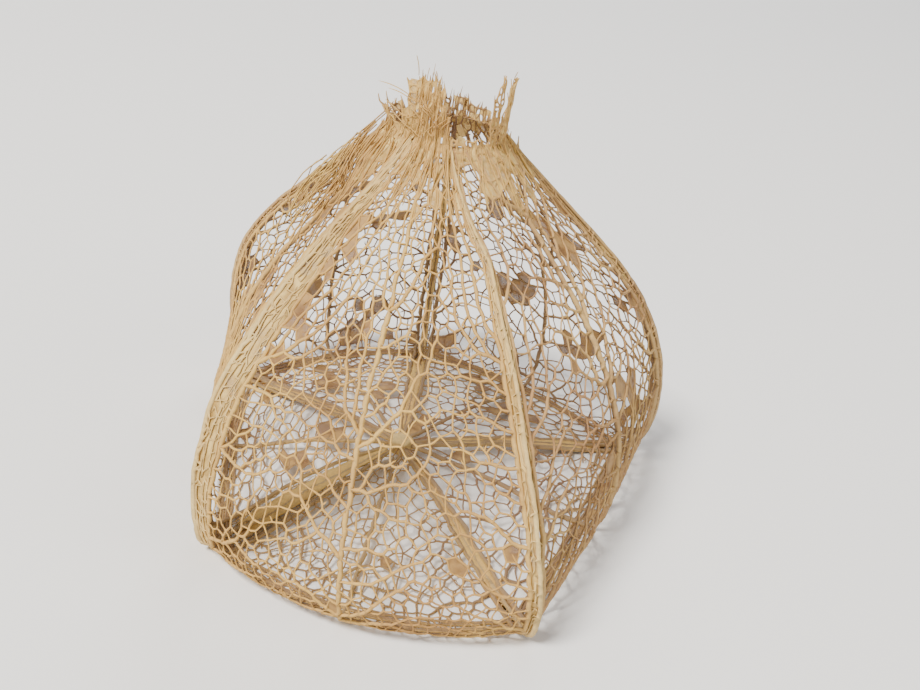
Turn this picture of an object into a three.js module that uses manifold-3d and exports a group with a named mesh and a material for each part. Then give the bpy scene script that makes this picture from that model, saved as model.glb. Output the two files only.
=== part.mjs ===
// Skeletonised husk of a physalis: the dried lantern of five grown-together sepals,
// whose papery skin is gone, so that only ribs and net of veins are left.
// Millimetres, +Z up. The husk stands on the lower edge of the lantern, its torn tips up.
// The origin is under the middle of its box, on the surface that it rests on.
import * as THREE from "three";
import Module from "manifold-3d";
import { mergeVertices } from "three/addons/utils/BufferGeometryUtils.js";

// Size of the lantern
const FOOT_RADIUS = 21;
// Middle line of a main rib, from the stalk over the underside and up to the mouth,
// as distance from the axis and height, in shares of the foot radius
const RIB_PROFILE = [
  [0.0, 0.07],
  [0.4, 0.06],
  [0.72, 0.025],
  [0.91, 0.0],
  [0.995, 0.045],
  [1.025, 0.13],
  [1.03, 0.24],
  [1.01, 0.37],
  [0.955, 0.52],
  [0.87, 0.67],
  [0.75, 0.82],
  [0.615, 0.95],
  [0.48, 1.07],
  [0.355, 1.18],
  [0.255, 1.27],
  [0.185, 1.34],
];
const MOUTH_HEIGHT = 1.34;
const FOOT_SHARE = 0.91;

// Main ribs in turning order. Azimuths in degrees at the heights below, reach beside the
// profile at the foot and on the slope, then the torn tip above the rim: its length and
// half width in mm, and its lean outwards and sideways
const AZIMUTH_HEIGHTS = [0, 0.45, 0.8, 1];
const MAIN_RIBS = [
  {
    azimuths: [-41, -41, -41, -33],
    reach: { foot: 0.915, slope: 0.965 },
    tip: { length: 5.2, half: 1.9, out: 0.0, side: 0.0 },
  },
  {
    azimuths: [28, 23.5, 22, 6],
    reach: { foot: 1.04, slope: 1.04 },
    tip: { length: 4.6, half: 1.6, out: 0.0, side: -0.3 },
  },
  {
    azimuths: [108, 108, 107, 104],
    reach: { foot: 1.05, slope: 1.05 },
    tip: { length: 4.6, half: 1.5, out: 0.05, side: 0.0 },
  },
  {
    azimuths: [178, 178, 177, 175],
    reach: { foot: 0.97, slope: 1.0 },
    tip: { length: 2.6, half: 2.0, out: 0.3, side: -0.1 },
  },
  {
    azimuths: [237, 236, 236, 238],
    reach: { foot: 0.9, slope: 0.99 },
    tip: { length: 2.9, half: 1.7, out: 0.8, side: 0.1 },
  },
];
const REACH_FROM = 0.1;
const REACH_TO = 0.5;

// Roundness of the panel after each main rib, at the foot and on the slope: 0 is a flat
// panel between two ridges, 1 a part of a circle, and less than 0 a sunken panel
const PANEL_ROUNDNESS = [
  { foot: 1.0, slope: 0.4 },
  { foot: 0.1, slope: 0.2 },
  { foot: 0.5, slope: 0.35 },
  { foot: 0.5, slope: 0.35 },
  { foot: 0.1, slope: -0.15 },
];
const ROUND_FROM = 0.08;
const ROUND_TO = 0.45;
const ROUND_AGAIN_FROM = 0.8;

// Net of veins
const CELL_SIZE = 2.85;
const SHORTEST_VEIN = 1.05;
const SEED = 20731;
const SEED_TRIES = 2600;
const SEED_GAP = 0.8;
const SIDE_GAP = 0.36;
const EVEN_STEPS = 2;
const HUB_START = 2.4;

// Half widths and thicknesses of veins and ribs, outwards and inwards from the surface
const VEIN = { half: 0.35, out: 0.26, into: 0.38 };
const MINOR_RIB = { half: 0.48, out: 0.32, into: 0.42 };
const MAIN_RIB = { half: 0.85, out: 0.42, into: 0.55 };
const EDGE = { half: 0.48, out: 0.3, into: 0.45 };
const HUB = { half: 0.7, out: 0.5, into: 0.9 };
const TAPER_AT_MOUTH = 0.55;
const LEAST_THICKNESS = 0.75;

// Stub of the stalk in the hollow of the underside
const STUB_RADIUS = 1.25;
const STUB_LENGTH = 0.9;
const STUB_SINK = 0.8;
const STUB_SIDES = 10;

const TURNS = 2 * MAIN_RIBS.length;

// Seeded random numbers from 0 to 1
function randomSource(seed) {
  let state = seed;
  return () => {
    state = (state + 0x6d2b79f5) | 0;
    let mixed = Math.imul(state ^ (state >>> 15), 1 | state);
    mixed = (mixed + Math.imul(mixed ^ (mixed >>> 7), 61 | mixed)) ^ mixed;
    return ((mixed ^ (mixed >>> 14)) >>> 0) / 4294967296;
  };
}

// Surface of the lantern
const profile = new THREE.CatmullRomCurve3(
  RIB_PROFILE.map(([radius, height]) => new THREE.Vector3(radius, 0, height).multiplyScalar(FOOT_RADIUS)),
  false,
  "centripetal",
);
profile.arcLengthDivisions = 400;
const profileLength = profile.getLength();

function footAlong() {
  let low = 0;
  let high = 0.6;
  for (let step = 0; step < 40; step += 1) {
    const middle = (low + high) / 2;
    if (profile.getPointAt(middle).x < FOOT_SHARE * FOOT_RADIUS) low = middle;
    else high = middle;
  }
  return low;
}

// Turn counts half panels: even numbers are main ribs, odd numbers minor ribs
function between(heights, values, height) {
  const above = heights.findIndex((step, index) => index > 0 && height <= step);
  const index = above < 0 ? heights.length - 1 : above;
  const share = (height - heights[index - 1]) / (heights[index] - heights[index - 1]);
  return THREE.MathUtils.lerp(values[index - 1], values[index], share);
}

function ribAt(number, heightShare) {
  const count = MAIN_RIBS.length;
  const rounds = Math.floor(number / count);
  const { azimuths, reach } = MAIN_RIBS[number - rounds * count];
  const azimuth = between(AZIMUTH_HEIGHTS, azimuths, heightShare) + 360 * rounds;
  const up = THREE.MathUtils.smoothstep(heightShare, REACH_FROM, REACH_TO);
  return { azimuth, reach: THREE.MathUtils.lerp(reach.foot, reach.slope, up) };
}

function halfPanelAngle(turn, heightShare = 0.5) {
  const number = Math.floor(turn / 2);
  const opening = ribAt(number + 1, heightShare).azimuth - ribAt(number, heightShare).azimuth;
  return THREE.MathUtils.degToRad(opening) / 2;
}

function roundness(number, along, heightShare) {
  const count = MAIN_RIBS.length;
  const { foot, slope } = PANEL_ROUNDNESS[((number % count) + count) % count];
  const up = THREE.MathUtils.smoothstep(heightShare, ROUND_FROM, ROUND_TO);
  const atMouth = THREE.MathUtils.smoothstep(heightShare, ROUND_AGAIN_FROM, 1);
  const underside = 1 - THREE.MathUtils.smoothstep(along, 0, footShare);
  return THREE.MathUtils.lerp(THREE.MathUtils.lerp(foot, slope, up), 1, Math.max(atMouth, underside));
}

function lanternPoint(turn, along) {
  const onRib = profile.getPointAt(THREE.MathUtils.clamp(along, 0, 1));
  const heightShare = THREE.MathUtils.clamp(onRib.z / (MOUTH_HEIGHT * FOOT_RADIUS), 0, 1);
  const number = Math.floor(turn / 2);
  const share = turn / 2 - number;
  const from = ribAt(number, heightShare);
  const to = ribAt(number + 1, heightShare);
  const half = halfPanelAngle(turn, heightShare);
  const flat = Math.cos(half) / Math.cos((2 * share - 1) * half);
  const section = THREE.MathUtils.lerp(flat, 1, roundness(number, along, heightShare));
  const radius = onRib.x * THREE.MathUtils.lerp(from.reach, to.reach, share) * section;
  const azimuth = THREE.MathUtils.degToRad(THREE.MathUtils.lerp(from.azimuth, to.azimuth, share));
  return new THREE.Vector3(radius * Math.sin(azimuth), -radius * Math.cos(azimuth), onRib.z);
}

function lanternNormal(turn, along) {
  const step = 0.004;
  const across = lanternPoint(turn + 0.12, along).sub(lanternPoint(turn - 0.12, along));
  const before = lanternPoint(turn, Math.max(along - step, 0.001));
  const after = lanternPoint(turn, Math.min(along + step, 1));
  return across.cross(after.sub(before)).normalize();
}

const footShare = footAlong();

// Strip coordinates: angle across and a stretched length along, in which cells of the
// wanted size and lengthening are evenly round
function lengthening(along) {
  const nearHub = 1 - THREE.MathUtils.smoothstep(along, 0.02, 0.3);
  const nearMouth = THREE.MathUtils.smoothstep(along, 0.6, 1);
  return 1.12 + 0.5 * nearHub + 0.75 * nearMouth;
}

const STRIP_STEPS = 600;
const stripLengths = [0];
for (let step = 1; step <= STRIP_STEPS; step += 1) {
  const along = (step - 0.5) / STRIP_STEPS;
  const radius = Math.max(profile.getPointAt(along).x, HUB_START / 2);
  const length = profileLength / STRIP_STEPS / (radius * lengthening(along));
  stripLengths.push(stripLengths[step - 1] + length);
}

function stripAt(along) {
  const place = along * STRIP_STEPS;
  const step = Math.min(Math.floor(place), STRIP_STEPS - 1);
  return THREE.MathUtils.lerp(stripLengths[step], stripLengths[step + 1], place - step);
}

function alongAt(strip) {
  let low = 0;
  let high = STRIP_STEPS;
  while (high - low > 1) {
    const middle = (low + high) >> 1;
    if (stripLengths[middle] <= strip) low = middle;
    else high = middle;
  }
  const within = (strip - stripLengths[low]) / (stripLengths[low + 1] - stripLengths[low]);
  return (low + THREE.MathUtils.clamp(within, 0, 1)) / STRIP_STEPS;
}

function cellInStrip(strip) {
  const along = alongAt(strip);
  const radius = profile.getPointAt(along).x;
  return CELL_SIZE / Math.sqrt(lengthening(along)) / Math.max(radius, HUB_START);
}

// Cells of one strip: seeds at random but never close, then the area nearest to each
function scatterSeeds(width, from, to, random) {
  const seeds = [];
  for (let attempt = 0; attempt < SEED_TRIES; attempt += 1) {
    const seed = { x: random() * width, y: from + random() * (to - from) };
    const size = cellInStrip(seed.y);
    const margin = SIDE_GAP * size;
    const inside = seed.y > from + margin && seed.y < to - margin;
    const clear = seeds.every((other) => {
      const gap = SEED_GAP * (size + cellInStrip(other.y)) / 2;
      return Math.hypot(seed.x - other.x, seed.y - other.y) > gap;
    });
    const beside = seed.x > Math.min(margin, width / 2.2) && seed.x < width - Math.min(margin, width / 2.2);
    if (inside && beside && clear) seeds.push(seed);
  }
  return seeds;
}

function clipPolygon(polygon, normalX, normalY, limit) {
  const kept = [];
  polygon.forEach((point, index) => {
    const next = polygon[(index + 1) % polygon.length];
    const here = limit - normalX * point.x - normalY * point.y;
    const there = limit - normalX * next.x - normalY * next.y;
    if (here >= 0) kept.push(point);
    if (here * there < 0) {
      const share = here / (here - there);
      kept.push({
        x: THREE.MathUtils.lerp(point.x, next.x, share),
        y: THREE.MathUtils.lerp(point.y, next.y, share),
      });
    }
  });
  return kept;
}

function cellAround(seed, seeds, width, from, to) {
  let polygon = [
    { x: 0, y: from },
    { x: width, y: from },
    { x: width, y: to },
    { x: 0, y: to },
  ];
  for (const other of seeds) {
    if (other === seed) continue;
    const normalX = other.x - seed.x;
    const normalY = other.y - seed.y;
    const limit = (other.x ** 2 + other.y ** 2 - seed.x ** 2 - seed.y ** 2) / 2;
    polygon = clipPolygon(polygon, normalX, normalY, limit);
  }
  return polygon;
}

function middleOf(polygon) {
  let area = 0;
  let x = 0;
  let y = 0;
  polygon.forEach((point, index) => {
    const next = polygon[(index + 1) % polygon.length];
    const cross = point.x * next.y - next.x * point.y;
    area += cross;
    x += (point.x + next.x) * cross;
    y += (point.y + next.y) * cross;
  });
  return { x: x / (3 * area), y: y / (3 * area) };
}

function stripCells(width, from, to, random) {
  let seeds = scatterSeeds(width, from, to, random);
  for (let step = 0; step < EVEN_STEPS; step += 1) {
    seeds = seeds.map((seed) => middleOf(cellAround(seed, seeds, width, from, to)));
  }
  return seeds.map((seed) => cellAround(seed, seeds, width, from, to));
}

// Network: knots of veins with their neighbours, and the lines that ribs and edges follow
const knots = [];

function addKnot(turn, along, rank, width) {
  const knot = { turn, along, rank, width, near: new Set() };
  knot.place = lanternPoint(turn, along);
  knots.push(knot);
  return knot;
}

function join(first, second) {
  if (first === second) return;
  first.near.add(second);
  second.near.add(first);
}

function mergeInto(kept, lost) {
  lost.near.forEach((other) => {
    other.near.delete(lost);
    join(kept, other);
  });
  lost.near.clear();
  lost.gone = true;
}

function midway(kept, lost) {
  kept.turn = (kept.turn + lost.turn) / 2;
  kept.along = (kept.along + lost.along) / 2;
  kept.place = lanternPoint(kept.turn, kept.along);
}

const RANK = { net: 0, line: 1, corner: 2, hub: 3 };
const lines = new Map();

function knotOnLine(name, at, make) {
  if (!lines.has(name)) lines.set(name, []);
  const line = lines.get(name);
  const found = line.find((entry) => Math.abs(entry.at - at) < 1e-6);
  if (found) return found.knot;
  const knot = make();
  line.push({ at, knot });
  return knot;
}

const hub = addKnot(0, 0, RANK.hub, HUB);
hub.normal = new THREE.Vector3(0, 0, -1);

function ribWidth(turn) {
  return turn % 2 === 0 ? MAIN_RIB : MINOR_RIB;
}

// The knot at a corner of a cell. Corners on a side of the strip belong to a rib, and
// those on its ends to the hub, the foot edge or the rim of the mouth.
function cellKnot(point, strip, known) {
  const key = `${point.x.toFixed(5)},${point.y.toFixed(5)}`;
  if (known.has(key)) return known.get(key);
  const left = point.x < 1e-6;
  const right = point.x > strip.width - 1e-6;
  const start = point.y < strip.from + 1e-6;
  const end = point.y > strip.to - 1e-6;
  const along = alongAt(point.y);
  const turn = strip.turn + point.x / strip.width;
  let knot;
  if (start && strip.fromHub) {
    knot = hub;
  } else if (left || right) {
    const rib = (strip.turn + (right ? 1 : 0)) % TURNS;
    const rank = start || end ? RANK.corner : RANK.line;
    knot = knotOnLine(`rib ${rib}`, along, () => addKnot(rib, along, rank, ribWidth(rib)));
  } else if (start || end) {
    const name = (end && !strip.fromHub) ? "rim" : "foot";
    knot = knotOnLine(name, turn, () => addKnot(turn, along, RANK.line, EDGE));
  } else {
    knot = addKnot(turn, along, RANK.net, VEIN);
  }
  known.set(key, knot);
  return knot;
}

function sameSide(first, second, strip) {
  const close = (a, b) => Math.abs(a - b) < 1e-6;
  const onSide = (side) => close(first.x, side) && close(second.x, side);
  const onEnd = (end) => close(first.y, end) && close(second.y, end);
  return onSide(0) || onSide(strip.width) || onEnd(strip.from) || onEnd(strip.to);
}

function addStrip(strip, random) {
  const known = new Map();
  for (const cell of stripCells(strip.width, strip.from, strip.to, random)) {
    cell.forEach((point, index) => {
      const next = cell[(index + 1) % cell.length];
      const first = cellKnot(point, strip, known);
      const second = cellKnot(next, strip, known);
      if (!sameSide(point, next, strip)) join(first, second);
    });
  }
}

const random = randomSource(SEED);
for (let turn = 0; turn < TURNS; turn += 1) {
  const width = halfPanelAngle(turn);
  const hubEnd = stripAt(HUB_START / profileLength);
  addStrip({ turn, width, from: hubEnd, to: stripAt(footShare), fromHub: true }, random);
  addStrip({ turn, width, from: stripAt(footShare), to: stripAt(1), fromHub: false }, random);
}

// Ribs run through their knots from the hub to the mouth
for (let rib = 0; rib < TURNS; rib += 1) {
  const line = lines.get(`rib ${rib}`).sort((a, b) => a.at - b.at);
  join(hub, line[0].knot);
  line.slice(1).forEach((entry, index) => join(line[index].knot, entry.knot));
  for (const [name, at] of [["foot", footShare], ["rim", 1]]) {
    const corner = line.find((entry) => Math.abs(entry.at - at) < 1e-6).knot;
    if (!lines.has(name)) lines.set(name, []);
    lines.get(name).push({ at: rib, knot: corner });
  }
}
// The foot edge and the rim of the mouth run right round
for (const name of ["foot", "rim"]) {
  const line = lines.get(name).sort((a, b) => a.at - b.at);
  line.forEach((entry, index) => join(entry.knot, line[(index + 1) % line.length].knot));
}

// Veins that are too short are drawn together into one knot
function shortVein() {
  let best = null;
  for (const knot of knots) {
    if (knot.gone) continue;
    for (const other of knot.near) {
      const length = knot.place.distanceTo(other.place);
      if (length < SHORTEST_VEIN && (!best || length < best.length)) best = { knot, other, length };
    }
  }
  return best;
}

for (let short = shortVein(); short; short = shortVein()) {
  const [kept, lost] = short.knot.rank >= short.other.rank ? [short.knot, short.other] : [short.other, short.knot];
  if (kept.rank === lost.rank && kept.rank < RANK.corner) midway(kept, lost);
  mergeInto(kept, lost);
}

// Torn tips: each main rib goes on above the rim, with a margin and rungs on both sides
function rimKnot(turn) {
  const wanted = lanternPoint(turn, 1);
  const onRim = lines.get("rim").map((entry) => entry.knot).filter((knot) => !knot.gone);
  onRim.sort((a, b) => a.place.distanceTo(wanted) - b.place.distanceTo(wanted));
  return onRim[0];
}

const TIP_ROWS = 3;
function addTip(rib, index) {
  const turn = 2 * index;
  const base = lanternPoint(turn, 1);
  const outwards = new THREE.Vector3(base.x, base.y, 0).normalize();
  const sideways = new THREE.Vector3(0, 0, 1).cross(outwards);
  const up = new THREE.Vector3(0, 0, 1).addScaledVector(outwards, rib.tip.out);
  up.addScaledVector(sideways, rib.tip.side).normalize();
  const normal = outwards.clone().addScaledVector(up, -outwards.dot(up)).normalize();
  const tipKnot = (share, across) => {
    const half = rib.tip.half * (1 - share ** 1.4);
    const place = base.clone().addScaledVector(up, rib.tip.length * share);
    place.addScaledVector(sideways, across * half);
    place.addScaledVector(outwards, -0.25 * Math.abs(across) * half);
    const knot = { place, normal, rank: RANK.net, width: across ? VEIN : MINOR_RIB, near: new Set() };
    knots.push(knot);
    return knot;
  };
  const point = tipKnot(1, 0);
  let row = [rimKnot(turn - 0.9), rimKnot(turn), rimKnot(turn + 0.9)];
  for (let step = 1; step < TIP_ROWS; step += 1) {
    const next = [-1, 0, 1].map((across) => tipKnot(step / TIP_ROWS, across));
    next.forEach((knot, side) => join(knot, row[side]));
    join(next[0], next[1]);
    join(next[1], next[2]);
    row = next;
  }
  row.forEach((knot) => join(knot, point));
}
MAIN_RIBS.forEach(addTip);

// Bars: each vein has a ridge outside, a ridge inside and a corner line on each side.
// Corners are shared by the two veins next to each other round a knot.
const husk = knots.filter((knot) => !knot.gone && knot.near.size > 0);

function taper(knot) {
  if (knot.along === undefined) return TAPER_AT_MOUTH;
  return THREE.MathUtils.lerp(1, TAPER_AT_MOUTH, THREE.MathUtils.smoothstep(knot.along, 0.55, 0.97));
}

function veinHalf(first, second) {
  const half = Math.min(first.width.half, second.width.half);
  const narrowing = half > VEIN.half ? Math.max(taper(first) * half, VEIN.half) : half;
  return narrowing;
}

for (const knot of husk) {
  knot.normal = knot.normal ?? lanternNormal(knot.turn, knot.along);
  const start = [...knot.near][0].place.clone().sub(knot.place);
  const axis = start.addScaledVector(knot.normal, -start.dot(knot.normal)).normalize();
  const side = knot.normal.clone().cross(axis);
  knot.spokes = [...knot.near].map((other) => {
    const flat = other.place.clone().sub(knot.place);
    const length = flat.length();
    flat.addScaledVector(knot.normal, -flat.dot(knot.normal)).normalize();
    return { other, length, flat, angle: Math.atan2(flat.dot(side), flat.dot(axis)) };
  });
  knot.spokes.sort((a, b) => a.angle - b.angle);
}

function spokeIndex(knot, other) {
  return knot.spokes.findIndex((spoke) => spoke.other === other);
}

// Middle of the gap that follows a spoke, going round the gap from knot to knot
function gapMiddle(knot, index) {
  const sum = new THREE.Vector3();
  let count = 0;
  let here = knot;
  let spoke = index;
  do {
    sum.add(here.place);
    count += 1;
    const next = here.spokes[spoke].other;
    const back = spokeIndex(next, here);
    spoke = (back + next.spokes.length - 1) % next.spokes.length;
    here = next;
  } while (count < 60 && !(here === knot && spoke === index));
  return count < 25 ? sum.divideScalar(count) : null;
}

function cornerPlace(knot, index) {
  const spoke = knot.spokes[index];
  const next = knot.spokes[(index + 1) % knot.spokes.length];
  if (spoke === next) return knot.place.clone().addScaledVector(spoke.flat, -0.6 * VEIN.half);
  let opening = next.angle - spoke.angle;
  if (opening <= 0) opening += 2 * Math.PI;
  const halfHere = veinHalf(knot, spoke.other);
  const halfNext = veinHalf(knot, next.other);
  const offset = new THREE.Vector3();
  if (Math.abs(Math.sin(opening)) > 0.35) {
    offset.addScaledVector(spoke.flat, halfNext / Math.sin(opening));
    offset.addScaledVector(next.flat, halfHere / Math.sin(opening));
  } else if (opening > 2) {
    const aside = knot.normal.clone().cross(spoke.flat).sub(knot.normal.clone().cross(next.flat));
    offset.copy(aside.normalize()).multiplyScalar((halfHere + halfNext) / 2);
  } else {
    offset.addVectors(spoke.flat, next.flat).normalize().multiplyScalar(2.6 * halfHere);
  }
  let scale = Math.min(1, 2.2 * Math.max(halfHere, halfNext) / offset.length());
  for (const reach of [spoke, next]) {
    const forward = offset.dot(reach.flat);
    if (forward > 0) scale = Math.min(scale, 0.42 * reach.length / forward);
  }
  const middle = gapMiddle(knot, index);
  if (middle) scale = Math.min(scale, 0.6 * middle.distanceTo(knot.place) / offset.length());
  return knot.place.clone().addScaledVector(offset, scale);
}

const places = [];
function addPlace(place, floor) {
  places.push(place.x, place.y, Math.max(place.z, floor));
  return places.length / 3 - 1;
}

for (const knot of husk) {
  const { out, into } = knot.width;
  knot.outer = addPlace(knot.place.clone().addScaledVector(knot.normal, out), 0);
  knot.inner = addPlace(knot.place.clone().addScaledVector(knot.normal, -into), LEAST_THICKNESS);
  knot.corners = knot.spokes.map((spoke, index) => addPlace(cornerPlace(knot, index), 0));
}

const faces = [];
function addQuad(a, b, c, d) {
  if (b !== c && a !== b) faces.push(a, b, c);
  if (c !== d && d !== a) faces.push(a, c, d);
}

for (const knot of husk) {
  knot.spokes.forEach((spoke, index) => {
    const other = spoke.other;
    const back = spokeIndex(other, knot);
    const leftHere = knot.corners[index];
    const leftThere = other.corners[(back + other.spokes.length - 1) % other.spokes.length];
    addQuad(knot.outer, other.outer, leftThere, leftHere);
    addQuad(other.inner, knot.inner, leftHere, leftThere);
  });
}

// The stub is joined to the net, and the whole is moved over its origin
const wasm = await Module();
wasm.setup();

function solidOf(geometry) {
  const bare = geometry.clone();
  bare.deleteAttribute("normal");
  bare.deleteAttribute("uv");
  const merged = mergeVertices(bare, 1e-5);
  return new wasm.Manifold(new wasm.Mesh({
    numProp: 3,
    vertProperties: new Float32Array(merged.attributes.position.array),
    triVerts: new Uint32Array(merged.index.array),
  }));
}

const netGeometry = new THREE.BufferGeometry();
netGeometry.setAttribute("position", new THREE.Float32BufferAttribute(places, 3));
netGeometry.setIndex(faces);

const stubGeometry = new THREE.CylinderGeometry(STUB_RADIUS, 0.85 * STUB_RADIUS, STUB_LENGTH + STUB_SINK, STUB_SIDES);
stubGeometry.rotateX(Math.PI / 2);
stubGeometry.translate(0, 0, RIB_PROFILE[0][1] * FOOT_RADIUS + (STUB_SINK - STUB_LENGTH) / 2);

const joined = solidOf(netGeometry).add(solidOf(stubGeometry)).getMesh();
const huskGeometry = new THREE.BufferGeometry();
huskGeometry.setAttribute("position", new THREE.BufferAttribute(joined.vertProperties, 3));
huskGeometry.setIndex(new THREE.BufferAttribute(joined.triVerts, 1));
huskGeometry.computeBoundingBox();
const box = huskGeometry.boundingBox;
huskGeometry.translate(-(box.min.x + box.max.x) / 2, -(box.min.y + box.max.y) / 2, -box.min.z);
huskGeometry.computeVertexNormals();

const material = new THREE.MeshStandardMaterial({ color: 0xd9b87f, roughness: 0.75, metalness: 0 });
const huskMesh = new THREE.Mesh(huskGeometry, material);
huskMesh.name = "husk";

const group = new THREE.Group();
group.add(huskMesh);
export default group;
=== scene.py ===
"""Looks of the skeletonised physalis husk: a fine net of veins on the lantern's surface.

Sizes are in millimetres until a mesh is made, which turns them into metres. The lantern's
surface is the solid's own, so every piece lies where the solid's net lies.
"""
import heapq
import math
import random

import bpy
import numpy as np
from mathutils import Matrix, Vector


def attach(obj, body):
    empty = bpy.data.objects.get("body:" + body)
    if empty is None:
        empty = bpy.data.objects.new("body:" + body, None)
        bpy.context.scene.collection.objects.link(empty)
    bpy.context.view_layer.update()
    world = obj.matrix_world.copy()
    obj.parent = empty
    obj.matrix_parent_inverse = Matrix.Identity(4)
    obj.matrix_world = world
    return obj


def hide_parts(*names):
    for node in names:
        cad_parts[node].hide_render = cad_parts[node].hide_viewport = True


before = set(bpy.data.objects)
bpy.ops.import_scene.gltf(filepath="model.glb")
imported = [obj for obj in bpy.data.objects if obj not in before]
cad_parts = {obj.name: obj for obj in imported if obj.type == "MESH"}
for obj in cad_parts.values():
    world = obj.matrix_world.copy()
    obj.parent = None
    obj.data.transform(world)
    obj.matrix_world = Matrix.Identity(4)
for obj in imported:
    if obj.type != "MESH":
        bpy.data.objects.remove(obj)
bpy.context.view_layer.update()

MM = 0.001

# All random draws come from one seeded source, in the order of the script
source = random.Random(4711)
between = source.uniform
chance = source.random
pick = source.choice

# Where the lantern's own axis stands in the frame, whose origin is the middle of its box
AXIS_X = -2.459
AXIS_Y = 0.117

# Lowest height that any point of a piece may have above the floor
LOWEST = 0.05

# Camera: place and aim beside the lantern's axis in mm, roll in degrees, lens in mm
CAMERA_PLACE = (0.0, -69.1, 47.8)
CAMERA_AIM = (3.44, 0.0, 11.3)
CAMERA_ROLL = 9.5
CAMERA_LENS = 39.13

# Lantern surface, the same driving dimensions as the solid's. The profile of a main rib is
# given as shares of the foot radius. Each rib has its azimuths at four shares of the height,
# its reach at the foot and on the slope, and half the width of its band.
FOOT_RADIUS = 21.0
RIB_PROFILE = [
    (0.0, 0.07), (0.4, 0.06), (0.72, 0.025), (0.91, 0.0), (0.995, 0.045), (1.025, 0.13),
    (1.03, 0.24), (1.01, 0.37), (0.955, 0.52), (0.87, 0.67), (0.75, 0.82), (0.615, 0.95),
    (0.48, 1.07), (0.355, 1.18), (0.255, 1.27), (0.185, 1.34),
]
MOUTH_HEIGHT = 1.34
FOOT_SHARE = 0.91
AZIMUTH_HEIGHTS = (0.0, 0.45, 0.8, 1.0)
MAIN_RIBS = [
    {"azimuths": (-41, -41, -41, -33), "reach": (0.915, 0.965), "band": 1.45},
    {"azimuths": (28, 23.5, 22, 6), "reach": (1.04, 1.04), "band": 0.6},
    {"azimuths": (108, 108, 107, 104), "reach": (1.05, 1.05), "band": 0.6},
    {"azimuths": (178, 178, 177, 175), "reach": (0.97, 1.0), "band": 0.7},
    {"azimuths": (237, 236, 236, 238), "reach": (0.9, 0.99), "band": 0.75},
]

# Section of each panel at the foot and on the slope: 0 is flat between its ribs, 1 is round
PANEL_ROUNDNESS = [(1.0, 0.4), (0.1, 0.2), (0.5, 0.35), (0.5, 0.35), (0.1, -0.15)]

# A turn round the lantern is counted in half panels, and the main ribs have even numbers
RIB_COUNT = len(MAIN_RIBS)
TURNS = 2 * RIB_COUNT

# Width of each panel's strips beside its angle: below 1 their cells are stretched sideways
PANEL_STRIPS = [1.05, 0.74, 0.95, 0.9, 0.4]

# Size of each panel's cells beside the common one
PANEL_CELLS = [0.85, 1.14, 1.05, 1.0, 0.95]

# Width of each panel's veins beside the common one
PANEL_VEINS = [1.0, 1.2, 1.12, 1.1, 1.05]

# Torn crown above the rim: turn, height, lean outwards, and share of skin that is left
CROWN = [
    (0.0, 4.7, 0.0, 0.9), (0.15, 4.6, 0.0, 0.9), (0.35, 4.3, 0.0, 0.9), (0.6, 4.6, 0.0, 0.8),
    (1.0, 4.5, 0.0, 0.8), (1.35, 3.9, 0.0, 0.7), (1.7, 2.0, 0.0, 0.6), (2.0, 0.8, 0.0, 0.5),
    (2.7, 0.6, 0.0, 0.5), (2.85, 4.8, 0.03, 0.1), (3.02, 4.3, 0.03, 0.1), (3.12, 2.2, 0.0, 0.1),
    (3.2, 1.8, 0.0, 0.2), (3.28, 4.0, 0.05, 0.8), (3.75, 4.4, 0.05, 0.9), (3.95, 4.0, 0.05, 0.8),
    (4.08, 0.8, 0.0, 0.4), (4.6, 0.9, 0.0, 0.4), (5.25, 1.4, 0.0, 0.6), (5.75, 1.9, 0.0, 0.7),
    (6.2, 1.9, 0.0, 0.7), (6.5, 1.2, 0.1, 0.4), (7.0, 0.7, 0.2, 0.3), (7.5, 0.7, 0.4, 0.3),
    (8.0, 1.2, 0.8, 0.4), (8.5, 1.7, 1.0, 0.4), (9.0, 1.1, 0.6, 0.4), (9.45, 0.8, 0.1, 0.6),
    (9.65, 2.9, 0.0, 0.8), (9.85, 4.5, 0.0, 0.9), (10.0, 4.7, 0.0, 0.9),
]

# Net of veins: size of a cell, and half widths of the veins and of the lines beside them
CELL_SIZE = 1.12
FINEST = 0.068
STRONGEST = 0.21
STRAND = 0.17
MIDRIB = 0.27
MINOR_RIB = 0.16
HEM = 0.12
RIM = 0.06

# A vein's half width grows from a share of the finest by a power of the knots it supplies
VEIN_START = 0.94
VEIN_GROWTH = 0.27

# Shortest vein, share of the gaps with a free-ending veinlet, and radius of the bare hub
SHORTEST = 0.32
SPUR_SHARE = 0.42
HUB_START = 1.8

# Seeds of the cells: tries on the underside and on the side of a half panel, gaps to the
# edges and to one another in cell sizes, and rounds that even them out
UNDERSIDE_TRIES = 3200
SIDE_TRIES = 9000
EDGE_GAP = 0.36
SEED_GAP = 0.8
EVENING_ROUNDS = 2

# How near in a strip two points are the same, and a point is on the strip's edge
SAME_SPOT = 1e-6
ON_EDGE = 1e-7

# Reach of the corner between two veins: in half widths, and as a share of a vein's length
# and of the way to the middle of the gap
CORNER_WIDTHS = 2.4
CORNER_VEIN_SHARE = 0.44
CORNER_GAP_SHARE = 0.62

# Thickness beside width of fibres that are rounded by subdivision, which makes them thinner
FULL_ROUND = 1.28

# Half widths of the single fibres
FIBRE = 0.05
HAIR = 0.045
FINE_HAIR = 0.035

# Leftover skin: half its thickness, and where along the lantern it turns straw-coloured
SKIN_HALF = 0.02
COLLAR_START = 0.88

# Strands of a main rib between its two edges, as shares of its band: the broad rib and others
BROAD_RIB_STRANDS = (-0.78, -0.56, -0.34, 0.0, 0.2, 0.4, 0.6, 0.8)
RIB_STRANDS = (-0.5, 0.0, 0.5)

# Length of one row of the ribbons of skin on the ribs, as a share of the profile
RIBBON_ROW = 0.008

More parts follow.
